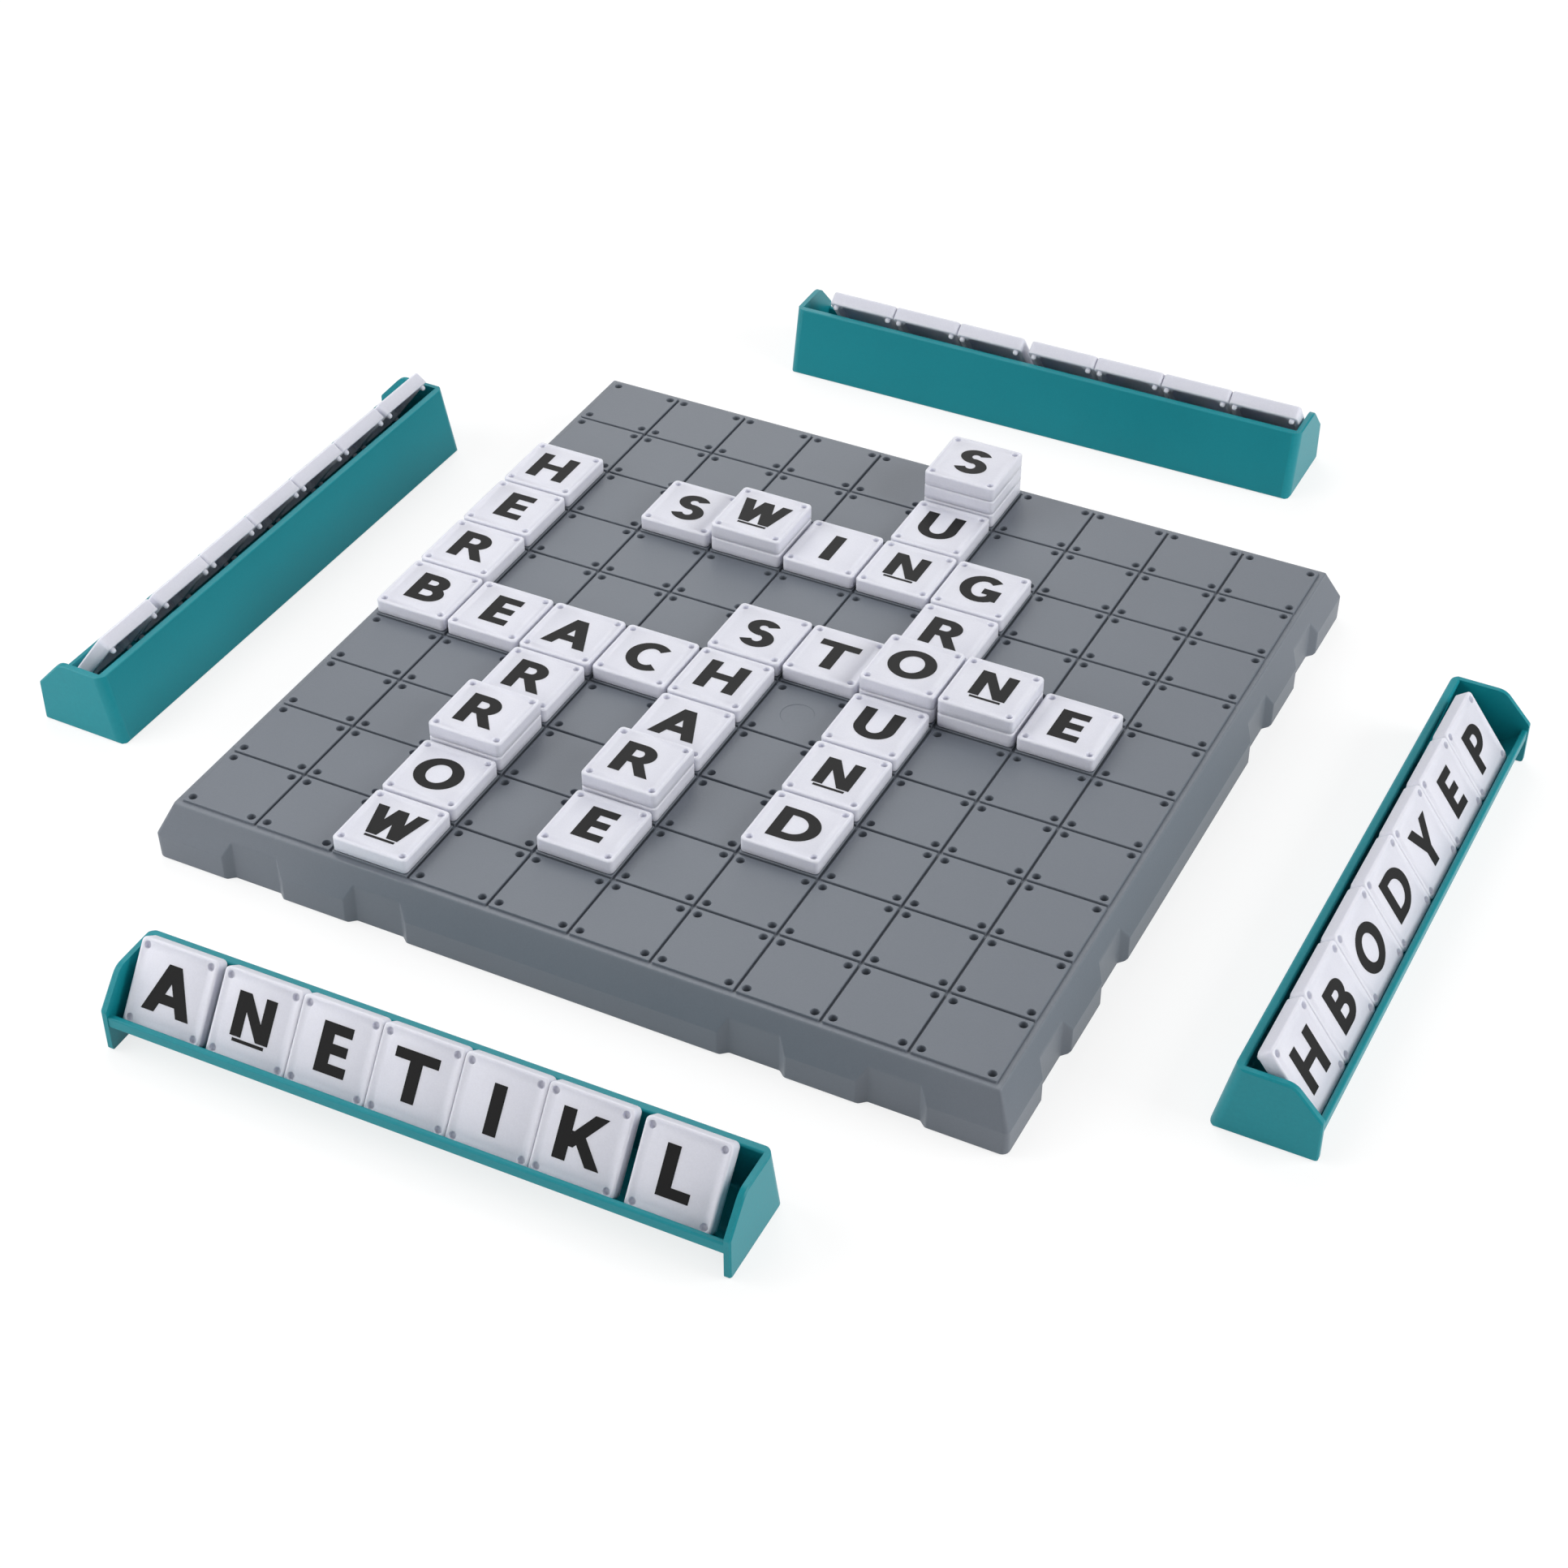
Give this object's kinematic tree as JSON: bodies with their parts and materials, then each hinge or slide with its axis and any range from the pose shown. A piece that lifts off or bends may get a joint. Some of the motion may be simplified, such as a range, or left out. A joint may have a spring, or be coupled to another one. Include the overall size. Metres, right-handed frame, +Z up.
{
  "type": "stacking word tile game",
  "caption": "Square peg board with a bevelled rim, leaning tile racks around it, and letter tiles with pegs and sockets that stack on its cells.",
  "frame": {"origin": "on the table, at the middle of the footprint of board and racks", "axes": "+X to the right along the rows of letters, +Y away from the player who reads the board, +Z up"},
  "size_m": [0.354, 0.3663, 0.0294],
  "materials": {
    "board": "fine satin grain",
    "rack": "satin",
    "tile": "satin"
  },
  "bodies": {
    "board": {"board": "board"},
    "front_rack": {"front_rack": "rack"},
    "right_rack": {"right_rack": "rack"},
    "back_rack": {"back_rack": "rack"},
    "left_rack": {"left_rack": "rack"},
    "tile_a5": {"tile_a5": "tile"},
    "tile_a6": {"tile_a6": "tile"},
    "tile_a7": {"tile_a7": "tile"},
    "tile_a8": {"tile_a8": "tile"},
    "tile_b5": {"tile_b5": "tile"},
    "tile_c1": {"tile_c1": "tile"},
    "tile_c2": {"tile_c2": "tile"},
    "tile_c3": {"tile_c3": "tile"},
    "tile_c3_level_2": {"tile_c3_level_2": "tile"},
    "tile_c4": {"tile_c4": "tile"},
    "tile_c5": {"tile_c5": "tile"},
    "tile_c8": {"tile_c8": "tile"},
    "tile_d5": {"tile_d5": "tile"},
    "tile_d8": {"tile_d8": "tile"},
    "tile_d8_level_2": {"tile_d8_level_2": "tile"},
    "tile_e2": {"tile_e2": "tile"},
    "tile_e3": {"tile_e3": "tile"},
    "tile_e3_level_2": {"tile_e3_level_2": "tile"},
    "tile_e4": {"tile_e4": "tile"},
    "tile_e5": {"tile_e5": "tile"},
    "tile_e6": {"tile_e6": "tile"},
    "tile_e8": {"tile_e8": "tile"},
    "tile_f6": {"tile_f6": "tile"},
    "tile_f8": {"tile_f8": "tile"},
    "tile_f9": {"tile_f9": "tile"},
    "tile_f10": {"tile_f10": "tile"},
    "tile_f10_level_2": {"tile_f10_level_2": "tile"},
    "tile_f10_level_3": {"tile_f10_level_3": "tile"},
    "tile_g3": {"tile_g3": "tile"},
    "tile_g4": {"tile_g4": "tile"},
    "tile_g5": {"tile_g5": "tile"},
    "tile_g6": {"tile_g6": "tile"},
    "tile_g6_level_2": {"tile_g6_level_2": "tile"},
    "tile_g7": {"tile_g7": "tile"},
    "tile_g8": {"tile_g8": "tile"},
    "tile_h6": {"tile_h6": "tile"},
    "tile_h6_level_2": {"tile_h6_level_2": "tile"},
    "tile_i6": {"tile_i6": "tile"},
    "front_tile_1": {"front_tile_1": "tile"},
    "front_tile_2": {"front_tile_2": "tile"},
    "front_tile_3": {"front_tile_3": "tile"},
    "front_tile_4": {"front_tile_4": "tile"},
    "front_tile_5": {"front_tile_5": "tile"},
    "front_tile_6": {"front_tile_6": "tile"},
    "front_tile_7": {"front_tile_7": "tile"},
    "right_tile_1": {"right_tile_1": "tile"},
    "right_tile_2": {"right_tile_2": "tile"},
    "right_tile_3": {"right_tile_3": "tile"},
    "right_tile_4": {"right_tile_4": "tile"},
    "right_tile_5": {"right_tile_5": "tile"},
    "right_tile_6": {"right_tile_6": "tile"},
    "right_tile_7": {"right_tile_7": "tile"},
    "back_tiles": {"back_tiles": "tile"},
    "left_tiles": {"left_tiles": "tile"}
  },
  "joints": [
    {"name": "front_rack_slide", "type": "slide", "parent": "board", "child": "front_rack", "axis": [0.0136, -0.9999, 0], "range_m": [-0.025, 0.06]},
    {"name": "right_rack_slide", "type": "slide", "parent": "board", "child": "right_rack", "axis": [1, -0.0063, 0], "range_m": [-0.025, 0.06]},
    {"name": "back_rack_slide", "type": "slide", "parent": "board", "child": "back_rack", "axis": [-0.0051, 1, 0], "range_m": [-0.025, 0.06]},
    {"name": "left_rack_slide", "type": "slide", "parent": "board", "child": "left_rack", "axis": [-0.9998, 0.019, 0], "range_m": [-0.025, 0.06]},
    {"name": "tile_a5_lift", "type": "slide", "parent": "board", "child": "tile_a5", "axis": [0, 0, 1], "range_m": [0, 0.015]},
    {"name": "tile_a6_lift", "type": "slide", "parent": "board", "child": "tile_a6", "axis": [0, 0, 1], "range_m": [0, 0.015]},
    {"name": "tile_a7_lift", "type": "slide", "parent": "board", "child": "tile_a7", "axis": [0, 0, 1], "range_m": [0, 0.015]},
    {"name": "tile_a8_lift", "type": "slide", "parent": "board", "child": "tile_a8", "axis": [0, 0, 1], "range_m": [0, 0.015]},
    {"name": "tile_b5_lift", "type": "slide", "parent": "board", "child": "tile_b5", "axis": [0, 0, 1], "range_m": [0, 0.015]},
    {"name": "tile_c1_lift", "type": "slide", "parent": "board", "child": "tile_c1", "axis": [0, 0, 1], "range_m": [0, 0.015]},
    {"name": "tile_c2_lift", "type": "slide", "parent": "board", "child": "tile_c2", "axis": [0, 0, 1], "range_m": [0, 0.015]},
    {"name": "tile_c3_lift", "type": "slide", "parent": "board", "child": "tile_c3", "axis": [0, 0, 1], "range_m": [0, 0.015]},
    {"name": "tile_c3_level_2_lift", "type": "slide", "parent": "tile_c3", "child": "tile_c3_level_2", "axis": [0, 0, 1], "range_m": [0, 0.015]},
    {"name": "tile_c4_lift", "type": "slide", "parent": "board", "child": "tile_c4", "axis": [0, 0, 1], "range_m": [0, 0.015]},
    {"name": "tile_c5_lift", "type": "slide", "parent": "board", "child": "tile_c5", "axis": [0, 0, 1], "range_m": [0, 0.015]},
    {"name": "tile_c8_lift", "type": "slide", "parent": "board", "child": "tile_c8", "axis": [0, 0, 1], "range_m": [0, 0.015]},
    {"name": "tile_d5_lift", "type": "slide", "parent": "board", "child": "tile_d5", "axis": [0, 0, 1], "range_m": [0, 0.015]},
    {"name": "tile_d8_lift", "type": "slide", "parent": "board", "child": "tile_d8", "axis": [0, 0, 1], "range_m": [0, 0.015]},
    {"name": "tile_d8_level_2_lift", "type": "slide", "parent": "tile_d8", "child": "tile_d8_level_2", "axis": [0, 0, 1], "range_m": [0, 0.015]},
    {"name": "tile_e2_lift", "type": "slide", "parent": "board", "child": "tile_e2", "axis": [0, 0, 1], "range_m": [0, 0.015]},
    {"name": "tile_e3_lift", "type": "slide", "parent": "board", "child": "tile_e3", "axis": [0, 0, 1], "range_m": [0, 0.015]},
    {"name": "tile_e3_level_2_lift", "type": "slide", "parent": "tile_e3", "child": "tile_e3_level_2", "axis": [0, 0, 1], "range_m": [0, 0.015]},
    {"name": "tile_e4_lift", "type": "slide", "parent": "board", "child": "tile_e4", "axis": [0, 0, 1], "range_m": [0, 0.015]},
    {"name": "tile_e5_lift", "type": "slide", "parent": "board", "child": "tile_e5", "axis": [0, 0, 1], "range_m": [0, 0.015]},
    {"name": "tile_e6_lift", "type": "slide", "parent": "board", "child": "tile_e6", "axis": [0, 0, 1], "range_m": [0, 0.015]},
    {"name": "tile_e8_lift", "type": "slide", "parent": "board", "child": "tile_e8", "axis": [0, 0, 1], "range_m": [0, 0.015]},
    {"name": "tile_f6_lift", "type": "slide", "parent": "board", "child": "tile_f6", "axis": [0, 0, 1], "range_m": [0, 0.015]},
    {"name": "tile_f8_lift", "type": "slide", "parent": "board", "child": "tile_f8", "axis": [0, 0, 1], "range_m": [0, 0.015]},
    {"name": "tile_f9_lift", "type": "slide", "parent": "board", "child": "tile_f9", "axis": [0, 0, 1], "range_m": [0, 0.015]},
    {"name": "tile_f10_lift", "type": "slide", "parent": "board", "child": "tile_f10", "axis": [0, 0, 1], "range_m": [0, 0.015]},
    {"name": "tile_f10_level_2_lift", "type": "slide", "parent": "tile_f10", "child": "tile_f10_level_2", "axis": [0, 0, 1], "range_m": [0, 0.015]},
    {"name": "tile_f10_level_3_lift", "type": "slide", "parent": "tile_f10_level_2", "child": "tile_f10_level_3", "axis": [0, 0, 1], "range_m": [0, 0.015]},
    {"name": "tile_g3_lift", "type": "slide", "parent": "board", "child": "tile_g3", "axis": [0, 0, 1], "range_m": [0, 0.015]},
    {"name": "tile_g4_lift", "type": "slide", "parent": "board", "child": "tile_g4", "axis": [0, 0, 1], "range_m": [0, 0.015]},
    {"name": "tile_g5_lift", "type": "slide", "parent": "board", "child": "tile_g5", "axis": [0, 0, 1], "range_m": [0, 0.015]},
    {"name": "tile_g6_lift", "type": "slide", "parent": "board", "child": "tile_g6", "axis": [0, 0, 1], "range_m": [0, 0.015]},
    {"name": "tile_g6_level_2_lift", "type": "slide", "parent": "tile_g6", "child": "tile_g6_level_2", "axis": [0, 0, 1], "range_m": [0, 0.015]},
    {"name": "tile_g7_lift", "type": "slide", "parent": "board", "child": "tile_g7", "axis": [0, 0, 1], "range_m": [0, 0.015]},
    {"name": "tile_g8_lift", "type": "slide", "parent": "board", "child": "tile_g8", "axis": [0, 0, 1], "range_m": [0, 0.015]},
    {"name": "tile_h6_lift", "type": "slide", "parent": "board", "child": "tile_h6", "axis": [0, 0, 1], "range_m": [0, 0.015]},
    {"name": "tile_h6_level_2_lift", "type": "slide", "parent": "tile_h6", "child": "tile_h6_level_2", "axis": [0, 0, 1], "range_m": [0, 0.015]},
    {"name": "tile_i6_lift", "type": "slide", "parent": "board", "child": "tile_i6", "axis": [0, 0, 1], "range_m": [0, 0.015]},
    {"name": "front_tile_1_lift", "type": "slide", "parent": "front_rack", "child": "front_tile_1", "axis": [-0.0081, 0.5948, 0.8039], "range_m": [0, 0.025]},
    {"name": "front_tile_2_lift", "type": "slide", "parent": "front_rack", "child": "front_tile_2", "axis": [-0.0081, 0.5948, 0.8039], "range_m": [0, 0.025]},
    {"name": "front_tile_3_lift", "type": "slide", "parent": "front_rack", "child": "front_tile_3", "axis": [-0.0081, 0.5948, 0.8039], "range_m": [0, 0.025]},
    {"name": "front_tile_4_lift", "type": "slide", "parent": "front_rack", "child": "front_tile_4", "axis": [-0.0081, 0.5948, 0.8039], "range_m": [0, 0.025]},
    {"name": "front_tile_5_lift", "type": "slide", "parent": "front_rack", "child": "front_tile_5", "axis": [-0.0081, 0.5948, 0.8039], "range_m": [0, 0.025]},
    {"name": "front_tile_6_lift", "type": "slide", "parent": "front_rack", "child": "front_tile_6", "axis": [-0.0081, 0.5948, 0.8039], "range_m": [0, 0.025]},
    {"name": "front_tile_7_lift", "type": "slide", "parent": "front_rack", "child": "front_tile_7", "axis": [-0.0081, 0.5948, 0.8039], "range_m": [0, 0.025]},
    {"name": "right_tile_1_lift", "type": "slide", "parent": "right_rack", "child": "right_tile_1", "axis": [-0.5948, 0.0037, 0.8039], "range_m": [0, 0.025]},
    {"name": "right_tile_2_lift", "type": "slide", "parent": "right_rack", "child": "right_tile_2", "axis": [-0.5948, 0.0037, 0.8039], "range_m": [0, 0.025]},
    {"name": "right_tile_3_lift", "type": "slide", "parent": "right_rack", "child": "right_tile_3", "axis": [-0.5948, 0.0037, 0.8039], "range_m": [0, 0.025]},
    {"name": "right_tile_4_lift", "type": "slide", "parent": "right_rack", "child": "right_tile_4", "axis": [-0.5948, 0.0037, 0.8039], "range_m": [0, 0.025]},
    {"name": "right_tile_5_lift", "type": "slide", "parent": "right_rack", "child": "right_tile_5", "axis": [-0.5948, 0.0037, 0.8039], "range_m": [0, 0.025]},
    {"name": "right_tile_6_lift", "type": "slide", "parent": "right_rack", "child": "right_tile_6", "axis": [-0.5948, 0.0037, 0.8039], "range_m": [0, 0.025]},
    {"name": "right_tile_7_lift", "type": "slide", "parent": "right_rack", "child": "right_tile_7", "axis": [-0.5948, 0.0037, 0.8039], "range_m": [0, 0.025]},
    {"name": "back_tiles_lift", "type": "slide", "parent": "back_rack", "child": "back_tiles", "axis": [0.003, -0.5948, 0.8039], "range_m": [0, 0.025]},
    {"name": "left_tiles_lift", "type": "slide", "parent": "left_rack", "child": "left_tiles", "axis": [0.5947, -0.0113, 0.8039], "range_m": [0, 0.025]}
  ]
}
